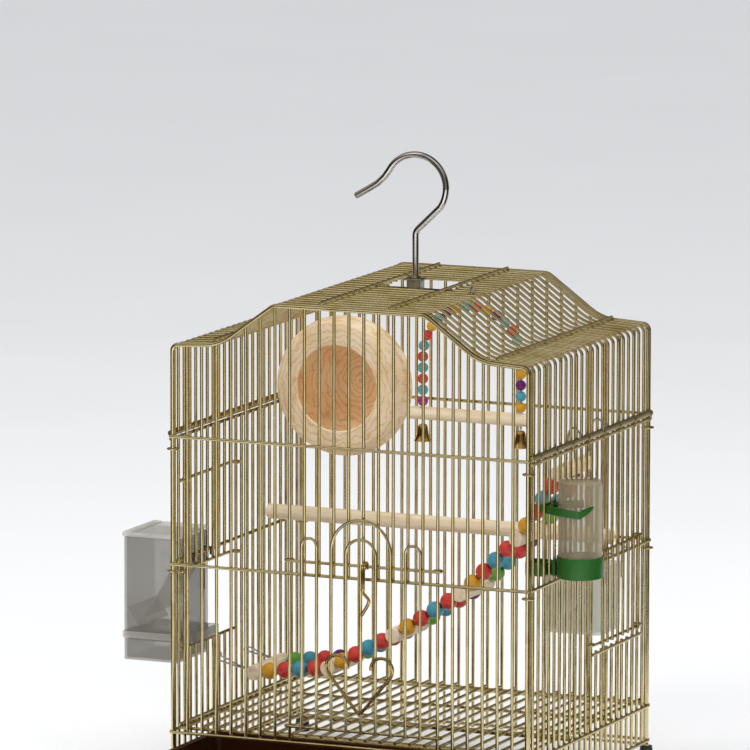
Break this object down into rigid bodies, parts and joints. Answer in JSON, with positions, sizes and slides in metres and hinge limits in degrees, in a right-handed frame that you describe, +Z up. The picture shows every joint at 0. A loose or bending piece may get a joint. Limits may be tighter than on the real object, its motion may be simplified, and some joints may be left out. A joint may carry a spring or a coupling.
{
  "type": "bird cage",
  "caption": "Wire bird cage with an ogee roof, hanging hook, sliding doors, pull-out tray, seed hopper, waterer, swing, bead ladder, perch and wooden nest bowl.",
  "frame": {"origin": "the middle of the bounding box's bottom face, with the tray pulled out; the floor under the feet is z = 0", "axes": "+Z up, -Y towards the front door and the tray, +X to the right seen from the front"},
  "size_m": [0.4632, 0.526, 0.5787],
  "materials": {
    "gold_wire": "glossy champagne gold",
    "hinge_metal": "glossy champagne gold",
    "foot_plastic": "matte",
    "hook_chrome": "polished",
    "pale_wood": "smooth sanded",
    "brass_wire": "polished",
    "tray_plastic": "glossy",
    "smoke_acrylic": "clear smoke grey",
    "dark_steel": "satin",
    "frosted_plastic": "frosted",
    "tube_plastic": "clear with a smoke tint",
    "green_plastic": "glossy",
    "nest_wood": "turned",
    "zinc_steel": "satin",
    "bell_brass": "polished",
    "bead_red": "glossy",
    "bead_teal": "glossy",
    "bead_yellow": "glossy",
    "bead_purple": "glossy",
    "bead_magenta": "glossy",
    "bead_green": "glossy"
  },
  "bodies": {
    "cage": {"front_panel": "gold_wire", "back_panel": "gold_wire", "roof_sheet": "gold_wire", "left_side_panel": "gold_wire", "right_side_panel": "gold_wire", "hinge_strips": "hinge_metal", "corner_rings": "gold_wire", "floor_grille": "gold_wire", "base_frame": "gold_wire", "feet": "foot_plastic", "hook_block": "hook_chrome", "perch": "pale_wood", "hopper_shell": "smoke_acrylic", "hopper_chute": "smoke_acrylic", "hopper_trough": "smoke_acrylic", "hopper_hooks": "dark_steel", "feeder_cup": "frosted_plastic", "feeder_cup_hooks": "dark_steel", "water_cup": "green_plastic", "water_clip": "green_plastic", "nest_bowl": "nest_wood", "nest_bolt": "zinc_steel", "nest_washers": "zinc_steel", "nest_wing_nut": "zinc_steel", "ladder_rungs": "pale_wood", "ladder_wires": "zinc_steel", "ladder_beads_red": "bead_red", "ladder_beads_blue": "bead_teal", "ladder_beads_yellow": "bead_yellow", "ladder_beads_green": "bead_green", "ladder_beads_purple": "bead_purple"},
    "hanger": {"hook": "hook_chrome", "hook_nut": "hook_chrome"},
    "front_door": {"front_door": "gold_wire", "door_heart": "brass_wire"},
    "latch": {"door_latch": "brass_wire"},
    "left_feeder_door": {"left_feeder_door": "gold_wire"},
    "right_feeder_door": {"right_feeder_door": "gold_wire"},
    "tray": {"tray": "tray_plastic"},
    "hopper_lid": {"hopper_lid": "smoke_acrylic"},
    "water_tube": {"water_tube": "tube_plastic"},
    "swing": {"swing_wire": "zinc_steel", "swing_perch": "pale_wood", "swing_beads_red": "bead_red", "swing_beads_teal": "bead_teal", "swing_beads_yellow": "bead_yellow", "swing_beads_purple": "bead_purple", "swing_beads_magenta": "bead_magenta"},
    "left_bell": {"bell_left": "bell_brass"},
    "right_bell": {"bell_right": "bell_brass"}
  },
  "joints": [
    {"name": "hook_swivel", "type": "hinge", "parent": "cage", "child": "hanger", "pos_m": [0.00785, 0.10635, 0.4623], "axis": [0, 0, 1], "continuous": true},
    {"name": "front_door_slide", "type": "slide", "parent": "cage", "child": "front_door", "axis": [0, 0, 1], "range_m": [0, 0.096]},
    {"name": "latch_swing", "type": "hinge", "parent": "front_door", "child": "latch", "pos_m": [0.02585, -0.0496, 0.2203], "axis": [-1, 0, 0], "range_deg": [0, 75]},
    {"name": "left_feeder_door_slide", "type": "slide", "parent": "cage", "child": "left_feeder_door", "axis": [0, 0, 1], "range_m": [-0.055, 0.006]},
    {"name": "right_feeder_door_slide", "type": "slide", "parent": "cage", "child": "right_feeder_door", "axis": [0, 0, 1], "range_m": [0, 0.07]},
    {"name": "tray_slide", "type": "slide", "parent": "cage", "child": "tray", "axis": [0, 1, 0], "range_m": [-0.06, 0.205]},
    {"name": "hopper_lid_hinge", "type": "hinge", "parent": "cage", "child": "hopper_lid", "pos_m": [-0.17875, 0.0165, 0.226], "axis": [0, 1, 0], "range_deg": [0, 70]},
    {"name": "water_tube_lift", "type": "slide", "parent": "cage", "child": "water_tube", "axis": [0, 0, 1], "range_m": [0, 0.06]},
    {"name": "swing_pivot", "type": "hinge", "parent": "cage", "child": "swing", "pos_m": [0.06935, 0.09365, 0.4523], "axis": [1, 0, 0], "range_deg": [-20, 20]},
    {"name": "left_bell_pivot", "type": "hinge", "parent": "swing", "child": "left_bell", "pos_m": [0.02085, 0.09365, 0.3301], "axis": [1, 0, 0], "range_deg": [-20, 20]},
    {"name": "right_bell_pivot", "type": "hinge", "parent": "swing", "child": "right_bell", "pos_m": [0.11785, 0.09365, 0.3301], "axis": [1, 0, 0], "range_deg": [-20, 20]}
  ]
}
